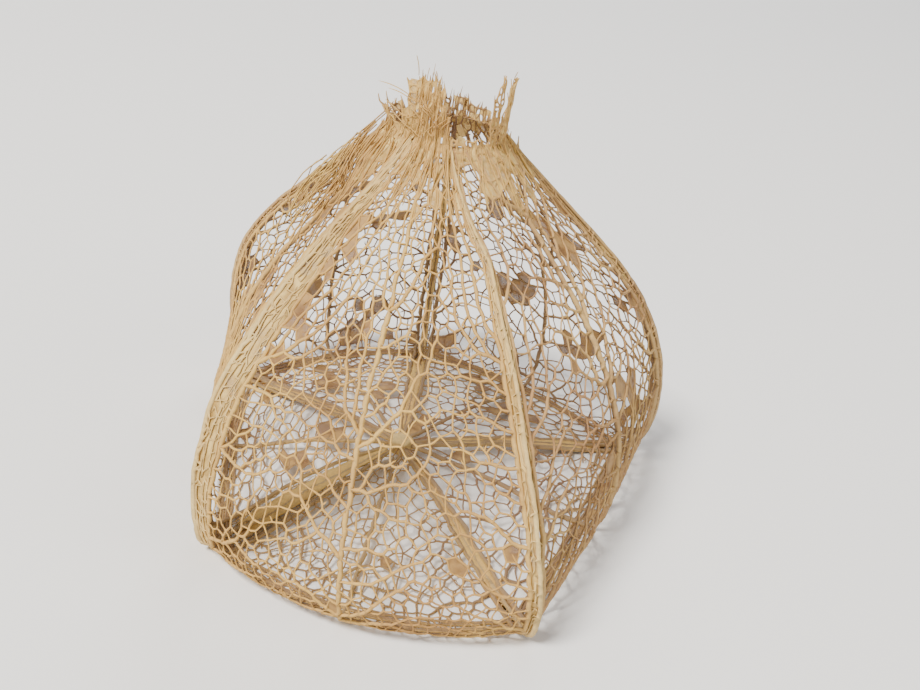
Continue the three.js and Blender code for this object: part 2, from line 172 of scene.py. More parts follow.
# Crown: where its strands start below the rim, and how strong they are
CROWN_START = -0.9
CROWN_STRANDS = (0.04, 0.055, 0.065, 0.11)

# Long hairs above the crown: turn, slant and length
LONG_HAIRS = [(-0.1, -0.35, 1.5), (0.3, 0.1, 1.1), (0.95, -0.25, 0.9), (3.0, 0.05, 0.7)]

# Hem: strands round the lower edge, knots in each, and knots from one break to the next
HEM_STRANDS = 7
HEM_KNOTS = 230
HEM_BREAK = 47

# Stub of the stalk: radius and height of its rings from below, and its number of sides
STUB_RINGS = [
    (0.5, 0.0), (0.95, 0.08), (1.0, 0.5), (0.9, 0.95), (1.0, 1.2), (0.85, 1.4), (0.4, 1.5),
]
STUB_SIDES = 22

# Floor in metres from its middle, and the lights: name, place and size in metres, watts, colour
FLOOR_HALF = 3
LIGHTS = [
    ("key", (-0.36, -0.32, 0.68), 0.24, 13.6, (1.0, 0.97, 0.92)),
    ("fill", (0.64, -0.2, 0.4), 0.5, 2.2, (1.0, 0.95, 0.88)),
    ("back", (0.1, 0.7, 0.5), 0.44, 3.8, (0.95, 0.97, 1.0)),
]


def lerp(a, b, share):
    return a + (b - a) * share


def smoothstep(value, low, high):
    share = min(max((value - low) / (high - low), 0.0), 1.0)
    return share * share * (3 - 2 * share)


def centripetal(points, per_span=24):
    """Smooth curve through the profile's points, scaled by the foot radius."""
    pts = [np.array(p, float) * FOOT_RADIUS for p in points]
    pts = [2 * pts[0] - pts[1]] + pts + [2 * pts[-1] - pts[-2]]
    curve = []
    for p0, p1, p2, p3 in zip(pts, pts[1:], pts[2:], pts[3:]):
        t1 = np.linalg.norm(p1 - p0) ** 0.5
        t2 = t1 + np.linalg.norm(p2 - p1) ** 0.5
        t3 = t2 + np.linalg.norm(p3 - p2) ** 0.5
        for t in np.linspace(t1, t2, per_span, endpoint=False):
            a1 = (t1 - t) / t1 * p0 + t / t1 * p1
            a2 = (t2 - t) / (t2 - t1) * p1 + (t - t1) / (t2 - t1) * p2
            a3 = (t3 - t) / (t3 - t2) * p2 + (t - t2) / (t3 - t2) * p3
            b1 = (t2 - t) / t2 * a1 + t / t2 * a2
            b2 = (t3 - t) / (t3 - t1) * a2 + (t - t1) / (t3 - t1) * a3
            curve.append((t2 - t) / (t2 - t1) * b1 + (t - t1) / (t2 - t1) * b2)
    curve.append(pts[-2])
    return np.array(curve)


# Profile of a main rib as a table over its length
PROFILE_STEPS = 2000
curve = centripetal(RIB_PROFILE)
lengths = np.concatenate([[0], np.cumsum(np.linalg.norm(np.diff(curve, axis=0), axis=1))])
PROFILE_LENGTH = float(lengths[-1])
even = np.linspace(0, PROFILE_LENGTH, PROFILE_STEPS + 1)
profile_radius = np.interp(even, lengths, curve[:, 0]).tolist()
profile_height = np.interp(even, lengths, curve[:, 1]).tolist()
foot_step = next(i for i, r in enumerate(profile_radius) if r >= FOOT_SHARE * FOOT_RADIUS)
foot_along = foot_step / PROFILE_STEPS


def on_profile(along):
    """Radius and height of the profile at a share of its length."""
    place = min(max(along, 0.0), 1.0) * PROFILE_STEPS
    step = min(int(place), PROFILE_STEPS - 1)
    share = place - step
    radius = lerp(profile_radius[step], profile_radius[step + 1], share)
    return radius, lerp(profile_height[step], profile_height[step + 1], share)


def rib_at(number, height_share):
    """Azimuth in degrees and reach of a main rib, at a share of the lantern's height."""
    rounds, index = divmod(number, RIB_COUNT)
    rib = MAIN_RIBS[index]
    azimuth = float(np.interp(height_share, AZIMUTH_HEIGHTS, rib["azimuths"])) + 360 * rounds
    foot, slope = rib["reach"]
    return azimuth, lerp(foot, slope, smoothstep(height_share, 0.1, 0.5))


def half_panel(turn):
    """Half the angle between the two main ribs beside a turn, halfway up."""
    number = math.floor(turn / 2)
    opening = rib_at(number + 1, 0.5)[0] - rib_at(number, 0.5)[0]
    return math.radians(opening) / 2


def roundness(number, along, height_share):
    """How round the section of a panel is: 0 is flat between its ribs, 1 is a circle."""
    foot, slope = PANEL_ROUNDNESS[number % RIB_COUNT]
    sides = lerp(foot, slope, smoothstep(height_share, 0.08, 0.45))
    at_mouth = smoothstep(height_share, 0.8, 1.0)
    underside = 1 - smoothstep(along, 0, foot_along)
    return lerp(sides, 1, max(at_mouth, underside))


def lantern_point(turn, along):
    """Point of the surface: turn counts half panels, along runs from stalk to mouth."""
    reach, height = on_profile(along)
    share_up = min(max(height / (MOUTH_HEIGHT * FOOT_RADIUS), 0.0), 1.0)
    number = math.floor(turn / 2)
    share = turn / 2 - number
    from_azimuth, from_reach = rib_at(number, share_up)
    to_azimuth, to_reach = rib_at(number + 1, share_up)
    half = math.radians(to_azimuth - from_azimuth) / 2
    flat = math.cos(half) / math.cos((2 * share - 1) * half)
    section = lerp(flat, 1, roundness(number, along, share_up))
    radius = reach * lerp(from_reach, to_reach, share) * section
    azimuth = math.radians(lerp(from_azimuth, to_azimuth, share))
    return Vector((radius * math.sin(azimuth), -radius * math.cos(azimuth), height))


def lantern_normal(turn, along):
    """Direction that points out of the surface."""
    step = 0.004
    across = lantern_point(turn + 0.06, along) - lantern_point(turn - 0.06, along)
    before = lantern_point(turn, max(along - step, 0.002))
    after = lantern_point(turn, min(along + step, 1))
    return across.cross(after - before).normalized()


def lengthening(along):
    """How much longer than wide the cells are."""
    near_hub = 1 - smoothstep(along, 0.02, 0.3)
    near_mouth = smoothstep(along, 0.66, 0.97)
    return 1.15 + 0.5 * near_hub + 1.3 * near_mouth


def cell_size(along):
    """Size of the cells, which are smaller round the foot and near the mouth."""
    at_foot = math.exp(-((along - foot_along) / 0.09) ** 2)
    near_mouth = smoothstep(along, 0.75, 0.98)
    return CELL_SIZE * (1.06 - 0.2 * at_foot - 0.22 * near_mouth)


# Strip coordinates, in which cells of the wanted size and lengthening are round
STRIP_STEPS = 800
strip_table = [0.0]
for number in range(STRIP_STEPS):
    middle = (number + 0.5) / STRIP_STEPS
    ring = max(on_profile(middle)[0], HUB_START / 2)
    strip_table.append(strip_table[-1] + PROFILE_LENGTH / STRIP_STEPS / (ring * lengthening(middle)))
strip_table = np.array(strip_table)
strip_shares = np.linspace(0, 1, STRIP_STEPS + 1)


def strip_at(along):
    return float(np.interp(along, strip_shares, strip_table))


def along_at(strip):
    return float(np.interp(strip, strip_table, strip_shares))


def cell_in_strip(strip, panel):
    """Size of a cell in strip coordinates."""
    along = along_at(strip)
    radius = max(on_profile(along)[0], HUB_START)
    return PANEL_CELLS[panel] * cell_size(along) / math.sqrt(lengthening(along)) / radius


def scatter(panel, width, low, high, tries):
    """Seeds of the cells of a strip, none too near to another or to an edge."""
    xs, ys, sizes = [], [], []
    for _ in range(tries):
        x = chance() * width
        y = lerp(low, high, chance())
        size = cell_in_strip(y, panel)
        gap = EDGE_GAP * size
        side = min(gap, width / 2.2)
        if x < side or x > width - side or y < low + gap or y > high - gap:
            continue
        if xs:
            gaps = np.hypot(np.array(xs) - x, np.array(ys) - y)
            if np.any(gaps < SEED_GAP * (np.array(sizes) + size) / 2):
                continue
        xs.append(x)
        ys.append(y)
        sizes.append(size)
    return list(zip(xs, ys))


def clip(polygon, nx, ny, limit):
    """Part of a polygon on the near side of a line."""
    kept = []
    count = len(polygon)
    for index in range(count):
        x, y = polygon[index]
        next_x, next_y = polygon[(index + 1) % count]
        here = limit - nx * x - ny * y
        there = limit - nx * next_x - ny * next_y
        if here >= 0:
            kept.append((x, y))
        if here * there < 0:
            share = here / (here - there)
            kept.append((lerp(x, next_x, share), lerp(y, next_y, share)))
    return kept


def nearest_areas(seeds, width, low, high):
    """For each seed of a strip, the polygon of all that lies nearest to it."""
    points = np.array(seeds)
    areas = []
    for x, y in seeds:
        gaps = np.hypot(points[:, 0] - x, points[:, 1] - y)
        polygon = [(0.0, low), (width, low), (width, high), (0.0, high)]
        for index in np.argsort(gaps)[1:40]:
            reach = max(math.hypot(px - x, py - y) for px, py in polygon)
            if gaps[index] > 2 * reach:
                break
            other_x, other_y = seeds[index]
            limit = (other_x ** 2 + other_y ** 2 - x ** 2 - y ** 2) / 2
            polygon = clip(polygon, other_x - x, other_y - y, limit)
        areas.append(polygon)
    return areas


def middle_of(polygon):
    """Centre of a polygon's area."""
    area = x = y = 0.0
    for index, (px, py) in enumerate(polygon):
        qx, qy = polygon[(index + 1) % len(polygon)]
        cross = px * qy - qx * py
        area += cross
        x += (px + qx) * cross
        y += (py + qy) * cross
    return x / (3 * area), y / (3 * area)


class Net:
    """Knots of veins with their places and normals, and the half width of each vein."""

    def __init__(self):
        self.place = []
        self.normal = []
        self.near = []
        self.shares = []
        self.kind = []

    def knot(self, place, normal, shares=None, kind="net"):
        self.place.append(place)
        self.normal.append(normal)
        self.near.append({})
        self.shares.append(shares)
        self.kind.append(kind)
        return len(self.place) - 1

    def join(self, a, b, half=FINEST):
        if a != b:
            self.near[a][b] = max(half, self.near[a].get(b, 0.0))
            self.near[b][a] = self.near[a][b]

    def cut(self, a, b):
        self.near[a].pop(b)
        self.near[b].pop(a)

    def merge(self, kept, lost):
        for other, half in list(self.near[lost].items()):
            self.cut(lost, other)
            self.join(kept, other, half)

    def length(self, a, b):
        return (self.place[a] - self.place[b]).length


class SpokeOrder:
    """The veins round each knot in turning order, and the gaps that lie between them."""

    def __init__(self, net):
        self.order = []
        self.index = []
        for number, near in enumerate(net.near):
            normal = net.normal[number]
            start = None
            spokes = []
            for other in near:
                flat = net.place[other] - net.place[number]
                flat = flat - normal * flat.dot(normal)
                flat = flat.normalized() if flat.length > 1e-9 else normal.orthogonal().normalized()
                if start is None:
                    start = flat
                    side = normal.cross(flat)
                spokes.append((math.atan2(flat.dot(side), flat.dot(start)), other, flat))
            spokes.sort(key=lambda spoke: spoke[0])
            self.order.append(spokes)
            self.index.append({spoke[1]: place for place, spoke in enumerate(spokes)})
        self.loops = []
        self.loop_of = {}
        for number, spokes in enumerate(self.order):
            for place in range(len(spokes)):
                if (number, place) in self.loop_of:
                    continue
                loop = []
                here, spoke = number, place
                while (here, spoke) not in self.loop_of:
                    self.loop_of[(here, spoke)] = len(self.loops)
                    loop.append(here)
                    following = self.order[here][spoke][1]
                    back = self.index[following][here]
                    here, spoke = following, (back - 1) % len(self.order[following])
                self.loops.append(loop)
        self.middles = []
        for loop in self.loops:
            total = Vector((0, 0, 0))
            for number in loop:
                total += net.place[number]
            self.middles.append(total / len(loop) if 3 <= len(loop) <= 60 else None)


def corner(net, spokes, number, place):
    """Point between two neighbouring veins of a knot, on the sides of both."""
    angle, other, flat = spokes.order[number][place]
    next_angle, next_other, next_flat = spokes.order[number][(place + 1) % len(spokes.order[number])]
    half = net.near[number][other]
    if other == next_other:
        # The end of a veinlet
        return net.place[number] - flat * (0.7 * half)
    opening = next_angle - angle
    if opening <= 0:
        opening += 2 * math.pi
    next_half = net.near[number][next_other]
    if abs(math.sin(opening)) > 0.3:
        offset = (flat * next_half + next_flat * half) / math.sin(opening)
    elif opening > 2:
        # Veins nearly in line
        normal = net.normal[number]
        aside = normal.cross(flat) - normal.cross(next_flat)
        offset = aside.normalized() * ((half + next_half) / 2)
    else:
        # Veins that run nearly side by side
        offset = (flat + next_flat).normalized() * (2.8 * half)
    size = max(offset.length, 1e-6)
    scale = min(1.0, CORNER_WIDTHS * max(half, next_half) / size)
    for reach, line in ((other, flat), (next_other, next_flat)):
        forward = offset.dot(line)
        if forward > 0:
            scale = min(scale, CORNER_VEIN_SHARE * net.length(number, reach) / forward)
    middle = spokes.middles[spokes.loop_of[(number, place)]]
    if middle is not None:
        scale = min(scale, CORNER_GAP_SHARE * (middle - net.place[number]).length / size)
    return net.place[number] + offset * scale


def to_frame(place):
    """Point in metres in the frame, of one in millimetres beside the lantern's axis."""
    return ((place.x + AXIS_X) * MM, (place.y + AXIS_Y) * MM, place.z * MM)


def above_floor(place):
    return to_frame(Vector((place.x, place.y, max(place.z, LOWEST))))


def new_mesh(name, verts, faces):
    mesh = bpy.data.meshes.new(name)
    mesh.from_pydata(verts, [], faces)
    mesh.update()
    return mesh


def new_object(name, content):
    made = bpy.data.objects.new(name, content)
    bpy.context.scene.collection.objects.link(made)
    return made


def net_mesh(name, net, rounding=1.0):
    """Closed mesh of all veins of a net: each has a ridge outside, one inside and two sides.

    The rounding is how thick the veins are beside their width.
    """
    spokes = SpokeOrder(net)
    verts, tones, insides, quads = [], [], [], []

    def add(place, tone, inside):
        verts.append(above_floor(place))
        tones.append(tone)
        insides.append(inside)
        return len(verts) - 1

    outer, inner, corners = {}, {}, {}
    for number, near in enumerate(net.near):
        if not near:
            continue
        half = max(near.values())
        tone = min((half - FINEST) / (MIDRIB - FINEST), 1.0)
        lift = net.normal[number] * (half * rounding)
        raised = Vector((0, 0, max(0.0, LOWEST + half * rounding - net.place[number].z)))
        middle = net.place[number] + raised
        outer[number] = add(middle + lift, tone, 0.0)
        inner[number] = add(middle - lift, tone, 1.0)
        corners[number] = [
            add(corner(net, spokes, number, place) + raised, tone, 0.5)
            for place in range(len(spokes.order[number]))
        ]
    for number in outer:
        for place, (_, other, _) in enumerate(spokes.order[number]):
            back = spokes.index[other][number]
            left = corners[number][place]
            left_there = corners[other][(back - 1) % len(corners[other])]
            quads.append((outer[number], outer[other], left_there, left))
            quads.append((inner[other], inner[number], left, left_there))
    mesh = new_mesh(name, verts, quads)
    mesh.attributes.new("tone", "FLOAT", "POINT").data.foreach_set("value", tones)
    mesh.attributes.new("inside", "FLOAT", "POINT").data.foreach_set("value", insides)
    return mesh


def smooth_object(name, mesh):
    mesh.shade_smooth()
    return new_object(name, mesh)


def rounded_object(name, mesh):
    """Object of a mesh with one round of subdivision applied."""
    piece = smooth_object(name, mesh)
    modifier = piece.modifiers.new("rounding", "SUBSURF")
    modifier.levels = 1
    modifier.render_levels = 1
    modifier.boundary_smooth = "ALL"
    graph = bpy.context.evaluated_depsgraph_get()
    rounded = bpy.data.meshes.new_from_object(piece.evaluated_get(graph))
    piece.modifiers.remove(modifier)
    piece.data = rounded
    bpy.data.meshes.remove(mesh)
    rounded.name = name
    rounded.shade_smooth()
    return piece


def band_half(rib, along):
    """Half the width of a main rib's band."""
    width = MAIN_RIBS[rib % RIB_COUNT]["band"]
    low = smoothstep(along, 0.05, 0.25)
    high = 1 - 0.72 * smoothstep(along, 0.72, 1.0)
    return width * lerp(0.6, 1.0, low) * high


def band_turns(rib, along):
    """Half the width of a main rib's band, in turns of the surface."""
    radius = max(on_profile(along)[0], HUB_START)
    return min(band_half(rib, along) / (radius * half_panel(2 * (rib % RIB_COUNT))), 0.3)


def panel_turn(panel, left, share, along):
    """Turn of a point that lies a share of the way across the left or right half of a panel."""
    start = 2 * panel + band_turns(panel, along)
    end = 2 * panel + 2 - band_turns(panel + 1, along)
    middle = 2 * panel + 1
    return lerp(start, middle, share) if left else lerp(middle, end, share)


def add_strip(net, lines, panel, left, low, high, from_hub, tries):
    """Cells of one strip of a panel, on the underside or the side, beside the minor rib."""
    width = half_panel(2 * panel) * PANEL_STRIPS[panel]
    bottom, top = strip_at(low), strip_at(high)
    seeds = scatter(panel, width, bottom, top, tries)
    for _ in range(EVENING_ROUNDS):
        seeds = [middle_of(area) for area in nearest_areas(seeds, width, bottom, top)]
    known = {}

    def knot_for(point):
        key = (round(point[0], 6), round(point[1], 6))
        if key in known:
            return known[key]
        x, y = point
        share = x / width
        along = min(max(along_at(y), 0.0), 1.0)
        at_left = x < ON_EDGE
        at_right = x > width - ON_EDGE
        at_start = y < bottom + ON_EDGE
        at_end = y > top - ON_EDGE
        turn = panel_turn(panel, left, share, along)
        if at_start and from_hub:
            known[key] = lines["hub"]
            return known[key]
        names = []
        if at_left:
            names.append("left" if left else "minor")
        if at_right:
            names.append("minor" if left else "right")
        if at_end and from_hub or at_start and not from_hub:
            names.append("foot")
        if at_end and not from_hub:
            names.append("rim")
        spots = {name: turn if name in ("foot", "rim") else along for name in names}
        for name, spot in spots.items():
            for at, number in lines[name]:
                if abs(at - spot) < SAME_SPOT:
                    known[key] = number
        if key not in known:
            kind = "corner" if len(names) > 1 else (names[0] if names else "net")
            place, normal = lantern_point(turn, along), lantern_normal(turn, along)
            known[key] = net.knot(place, normal, (turn, along), kind)
        for name, spot in spots.items():
            if all(number != known[key] for _, number in lines[name]):
                lines[name].append((spot, known[key]))
        return known[key]

    for area in nearest_areas(seeds, width, bottom, top):
        for index, point in enumerate(area):
            other = area[(index + 1) % len(area)]
            first, second = knot_for(point), knot_for(other)
            on_side = any(
                abs(point[axis] - side) < ON_EDGE and abs(other[axis] - side) < ON_EDGE
                for axis, side in ((0, 0.0), (0, width), (1, bottom), (1, top))
            )
            if not on_side:
                net.join(first, second)


# Half widths of the lines that bound the strips, and which kind of knot outlasts another
LINE_HALF = {"left": STRAND, "right": STRAND, "minor": MINOR_RIB, "foot": HEM, "rim": RIM}
RANK = {"net": 0, "foot": 1, "rim": 1, "minor": 2, "left": 2, "right": 2, "corner": 3, "hub": 4}


def settle(net, number):
    """Puts a knot back on the surface."""
    net.place[number] = lantern_point(*net.shares[number])


def draw_together(net):
    """Joins the knots at the ends of veins that are too short."""
    queue = [(net.length(a, b), a, b) for a in range(len(net.near)) for b in net.near[a] if a < b]
    queue = [entry for entry in queue if entry[0] < SHORTEST]
    heapq.heapify(queue)
    while queue:
        length, a, b = heapq.heappop(queue)
        if b not in net.near[a] or abs(net.length(a, b) - length) > 1e-9:
            continue
        kept, lost = (a, b) if RANK[net.kind[a]] >= RANK[net.kind[b]] else (b, a)
        same = net.kind[kept] == net.kind[lost]
        if same and RANK[net.kind[kept]] < RANK["corner"]:
            turn, along = net.shares[kept]
            other_turn, other_along = net.shares[lost]
            net.shares[kept] = ((turn + other_turn) / 2, (along + other_along) / 2)
            settle(net, kept)
        net.merge(kept, lost)
        for other in net.near[kept]:
            span = net.length(kept, other)
            if span < SHORTEST:
                heapq.heappush(queue, (span, kept, other))


def vein_strengths(net, hub, widening):
    """Widens each vein by the number of knots that it supplies from the stalk."""
    draws = {}
    cost = {}
    for a, near in enumerate(net.near):
        for b, half in near.items():
            if a < b:
                step = net.place[b] - net.place[a]
                radius = math.hypot(net.place[a].x, net.place[a].y)
                next_radius = math.hypot(net.place[b].x, net.place[b].y)
                slant = abs(step.z) + 0.5 * abs(next_radius - radius)
                upright = min(slant / max(step.length, 1e-6), 1.0)
                # Ribs lead best, and veins that climb lead better than level ones
                ease = 0.35 if half > 0.14 else lerp(1.9, 0.7, upright) * between(0.8, 1.4)
                cost[(a, b)] = cost[(b, a)] = step.length * ease
    distance = {hub: 0.0}
    parent = {}
    queue = [(0.0, hub)]
    order = []
    done = set()
    while queue:
        reached, here = heapq.heappop(queue)
        if here in done:
            continue
        done.add(here)
        order.append(here)
        for other in net.near[here]:
            total = reached + cost[(here, other)]
            if total < distance.get(other, 1e9):
                distance[other] = total
                parent[other] = here
                heapq.heappush(queue, (total, other))
    for here in reversed(order):
        draws[here] = draws.get(here, 0) + 1
        if here in parent:
            draws[parent[here]] = draws.get(parent[here], 0) + draws[here]
    for here, above in parent.items():
        half = min(FINEST * VEIN_START * (draws[here] + 1) ** VEIN_GROWTH, STRONGEST)
        net.join(here, above, half * widening * between(0.92, 1.08))


def straighten(net, rounds=6):
    """Strong veins pull their knots into smooth lines."""
    for _ in range(rounds):
        moved = {}
        for number, near in enumerate(net.near):
            if net.kind[number] != "net" or len(near) < 2:
                continue
            total = turn = along = 0.0
            for other, half in near.items():
                pull = (half / FINEST) ** 3
                other_turn, other_along = net.shares[other]
                total += pull
                turn += pull * other_turn
                along += pull * other_along
            here_turn, here_along = net.shares[number]
            moved[number] = (lerp(here_turn, turn / total, 0.4), lerp(here_along, along / total, 0.4))
        for number, shares in moved.items():
            net.shares[number] = shares
    for number, kind in enumerate(net.kind):
        if kind == "net" and net.near[number]:
            settle(net, number)
            net.normal[number] = lantern_normal(*net.shares[number])


def bend_veins(net):
    """Gives each vein two knots on its way, a little aside, so that none is quite straight."""
    pairs = [(a, b) for a in range(len(net.near)) for b in net.near[a] if a < b]
    for a, b in pairs:
        half = net.near[a][b]
        span = net.place[b] - net.place[a]
        if span.length < 1.3 * SHORTEST:
            continue
        normal = (net.normal[a] + net.normal[b]).normalized()
        bow = between(-0.07, 0.07)
        previous = a
        net.cut(a, b)
        for share in (0.3, 0.7):
            aside = normal.cross(span) * (bow + between(-0.025, 0.025))
            place = net.place[a] + span * share + aside + normal * between(-0.03, 0.05)
            number = net.knot(place, normal, None, "bend")
            net.join(previous, number, half * between(0.86, 1.0))
            previous = number
        net.join(previous, b, half * between(0.9, 1.0))


def add_spurs(net, share):
    """Free-ending veinlets that run from a knot into the middle of a cell."""
    spokes = SpokeOrder(net)
    for loop, middle in zip(spokes.loops, spokes.middles):
        if middle is None or len(loop) > 16 or chance() > share:
            continue
        start = pick(loop)
        if len(net.near[start]) > 3:
            continue
        way = middle - net.place[start]
        if way.length < 0.3:
            continue
        turned = Matrix.Rotation(between(-0.5, 0.5), 3, net.normal[start])
        reach = turned @ way * between(0.45, 0.95)
        half = FINEST * between(0.75, 0.95)
        bend = net.knot(net.place[start] + reach * 0.55, net.normal[start], None, "spur")
        end = net.knot(net.place[start] + turned @ reach, net.normal[start], None, "spur")
        net.join(start, bend, half)
        net.join(bend, end, half * between(0.8, 1.3))


def make_panel(panel):
    """Net between two main ribs, in four strips of cells and with the minor rib in between."""
    net = Net()
    lines = {"left": [], "right": [], "minor": [], "foot": [], "rim": []}
    downwards = Vector((0, 0, -1))
    lines["hub"] = net.knot(lantern_point(2 * panel, 0), downwards, (2 * panel + 1.0, 0.0), "hub")
    start = HUB_START / PROFILE_LENGTH
    for left in (True, False):
        add_strip(net, lines, panel, left, start, foot_along, True, UNDERSIDE_TRIES)
        add_strip(net, lines, panel, left, foot_along, 1.0, False, SIDE_TRIES)
    for name, half in LINE_HALF.items():
        line = sorted(lines[name])
        numbers = [number for _, number in line]
        if name in ("left", "right", "minor"):
            numbers = [lines["hub"]] + numbers
        for first, second in zip(numbers, numbers[1:]):
            along = net.shares[second][1]
            narrowing = 1 - 0.55 * smoothstep(along, 0.45, 1.0)
            net.join(first, second, half if name in ("foot", "rim") else half * narrowing)
    draw_together(net)
    vein_strengths(net, lines["hub"], PANEL_VEINS[panel])
    straighten(net)
    draw_together(net)
    return net


def film_mesh(name, sheets):
    """Thin closed sheets of leftover skin, each filling one gap of the net."""
    verts, faces = [], []
    for ring, middle, normal in sheets:
        lift = normal * SKIN_HALF
        base = len(verts)
        count = len(ring)
        for side in (1, -1):
            for place in (*ring, middle):
                verts.append(above_floor(place + lift * side))
        for index in range(count):
            following = (index + 1) % count
            top, top_next = base + index, base + following
            low, low_next = base + count + 1 + index, base + count + 1 + following
            faces.append((top, top_next, base + count))
            faces.append((low_next, low, base + 2 * count + 1))
            faces.append((top_next, top, low, low_next))
    return new_object(name, new_mesh(name, verts, faces))


def skin_left(turn, along):
    """How likely a cell still holds its papery skin."""
    at_mouth = 0.85 * smoothstep(along, 0.9, 0.99)
    first_rib = 0.6 * math.exp(-((turn - 0.25) / 0.16) ** 2) * smoothstep(along, 0.62, 0.7)
    first_rib *= 1 - smoothstep(along, 0.86, 0.95)
    shoulder = 0.4 * math.exp(-((turn - 9.3) / 0.6) ** 2) * smoothstep(along, 0.78, 0.9)
    patch = math.sin(4.7 * turn + 1.7) * math.sin(27 * along + 2.3 * turn)
    back = 0.75 * smoothstep(patch, 0.5, 0.75) * smoothstep(turn, 2.6, 3.4)
    return at_mouth + first_rib + shoulder + back + 0.006


class Look:
    """Material, with short ways to add the nodes that its colour and grain are made of."""

    def __init__(self, name, roughness):
        self.material = bpy.data.materials.new(name)
        self.material.use_nodes = True
        self.nodes = self.material.node_tree.nodes
        self.shader = self.nodes["Principled BSDF"]
        self.shader.inputs["Roughness"].default_value = roughness

    def link(self, output, node, name):
        self.material.node_tree.links.new(output, node.inputs[name])

    def add(self, kind, linked, **values):
        """Node with its linked inputs, and with the values of others."""
        node = self.nodes.new(f"ShaderNode{kind}")
        if kind == "Mix":
            node.data_type = "RGBA"
        for name, output in linked.items():
            self.link(output, node, name)
        for name, value in values.items():
            node.inputs[name.replace("_", " ")].default_value = value
        return node

    def noise(self, scale, detail):
        place = self.add("TexCoord", {}).outputs["Object"]
        return self.add("TexNoise", {"Vector": place}, Scale=scale, Detail=detail).outputs["Fac"]

    def attribute(self, name):
        node = self.add("Attribute", {})
        node.attribute_name = name
        return node.outputs["Fac"]

    def ramp(self, source, *stops):
        node = self.add("ValToRGB", {"Fac": source})
        for element, (position, colour) in zip(node.color_ramp.elements, stops):
            element.position = position
            element.color = (*colour, 1)
        return node.outputs["Color"]

    def blend(self, kind, linked, **values):
        node = self.add("Mix", linked, **values)
        node.blend_type = kind
        return node.outputs["Result"]

    def bump(self, source, strength, distance):
        node = self.add("Bump", {"Height": source}, Strength=strength, Distance=distance)
        self.link(node.outputs["Normal"], self.shader, "Normal")


def vein_material(name, pale, warm, inside_shade, warmth=0.0):
    """Dried plant fibre: paler strong veins, browner in patches, with painted shade that darkens the
    inner faces and part of the sides, so the outer ridges stay paler.
    """
    look = Look(name, 0.62)
    look.shader.inputs["Specular IOR Level"].default_value = 0.22
    grain = look.noise(4200, 3)
    patches = look.ramp(look.noise(160, 4), (0.36 - warmth, pale), (0.66 - warmth, warm))
    # Painted shade: the inner faces, and the sides in part, are mixed towards the shade colour
    inside = {"Value": look.attribute("inside")}
    inside_shade_amount = look.add("MapRange", inside, From_Min=0.35, From_Max=0.95, To_Max=0.85)
    inner = {"A": patches, "Factor": inside_shade_amount.outputs["Result"]}
    shaded = look.blend("MIX", inner, B=(*inside_shade, 1))
    strong = {"A": shaded, "Factor": look.attribute("tone")}
    lifted = look.blend("SCREEN", strong, B=(0.13, 0.1, 0.045, 1))
    speckled = look.blend("MULTIPLY", {"A": lifted, "B": grain}, Factor=0.45)
    bright = look.add("BrightContrast", {"Color": speckled}, Bright=0.06)
    look.link(bright.outputs["Color"], look.shader, "Base Color")
    look.bump(grain, 0.35, 0.00004)
    return look.material


def film_material(name, brown, straw):
    """Leftover skin: thin, papery, part see-through, blotched straw and brown."""
    look = Look(name, 0.7)
    blotches = look.noise(700, 5)
    look.link(look.ramp(blotches, (0.38, brown), (0.62, straw)), look.shader, "Base Color")
    thickness = {"Value": blotches}
    worn = look.add("MapRange", thickness, From_Min=0.4, From_Max=0.6, To_Min=0.68, To_Max=0.9)
    look.link(worn.outputs["Result"], look.shader, "Alpha")
    look.bump(blotches, 0.4, 0.00006)
    return look.material


# Colours of the veins and their materials: a paler copy painted as lit, a warmer, darker copy painted
# as shaded, and painted shade for the inner faces
LIT_PALE = (0.79, 0.46, 0.07)
LIT_GOLD = (0.52, 0.25, 0.026)
SHADED_WARM = (0.42, 0.19, 0.032)
PAINTED_INSIDE_SHADE = (0.12, 0.04, 0.008)
lit_veins = vein_material("veins_pale_lit", LIT_PALE, LIT_GOLD, PAINTED_INSIDE_SHADE)
shaded_veins = vein_material("veins_warm_shaded", (0.64, 0.375, 0.08), SHADED_WARM, PAINTED_INSIDE_SHADE, 0.03)
# Each trio is pale, warm, and the painted shade of the inner faces
STRAW = ((0.76, 0.47, 0.085), (0.56, 0.29, 0.042), (0.2, 0.08, 0.016))
CREAM = ((0.84, 0.58, 0.19), (0.68, 0.41, 0.095), (0.3, 0.15, 0.04))
fibre_veins = vein_material("veins_straw", *STRAW)
rib_veins = vein_material("veins_cream", *CREAM)
film_look = film_material("skin_brown", (0.23, 0.105, 0.026), (0.45, 0.26, 0.08))
rib_film_look = film_material("skin_straw", (0.54, 0.33, 0.085), (0.82, 0.58, 0.2))


def finish_piece(piece, material):
    piece.data.materials.clear()
    piece.data.materials.append(material)
    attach(piece, "root")
    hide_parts("husk")


def finish_net(name, net, look):
    finish_piece(smooth_object(name, net_mesh(name, net)), look)


def finish_rounded(name, net):
    finish_piece(rounded_object(name, net_mesh(name, net, FULL_ROUND)), fibre_veins)


# Leftover skin: the brown sheets of the panels, and the straw-coloured ones round the mouth
films = []
collar_films = []


def gather_skin(net):
    """Sheets of skin in those gaps of a panel that still hold theirs."""
    gaps = SpokeOrder(net)
    for loop, middle in zip(gaps.loops, gaps.middles):
        known = [net.shares[number] for number in loop]
        if middle is None or len(loop) > 14 or any(shares is None for shares in known):
            continue
        turn = sum(shares[0] for shares in known) / len(known)
        along = sum(shares[1] for shares in known) / len(known)
        if chance() < skin_left(turn, along):
            normal = net.normal[loop[0]]
            ring = [net.place[number] for number in reversed(loop)]
            sheets = collar_films if along > COLLAR_START else films
            sheets.append((ring, middle - normal * 0.03, normal))


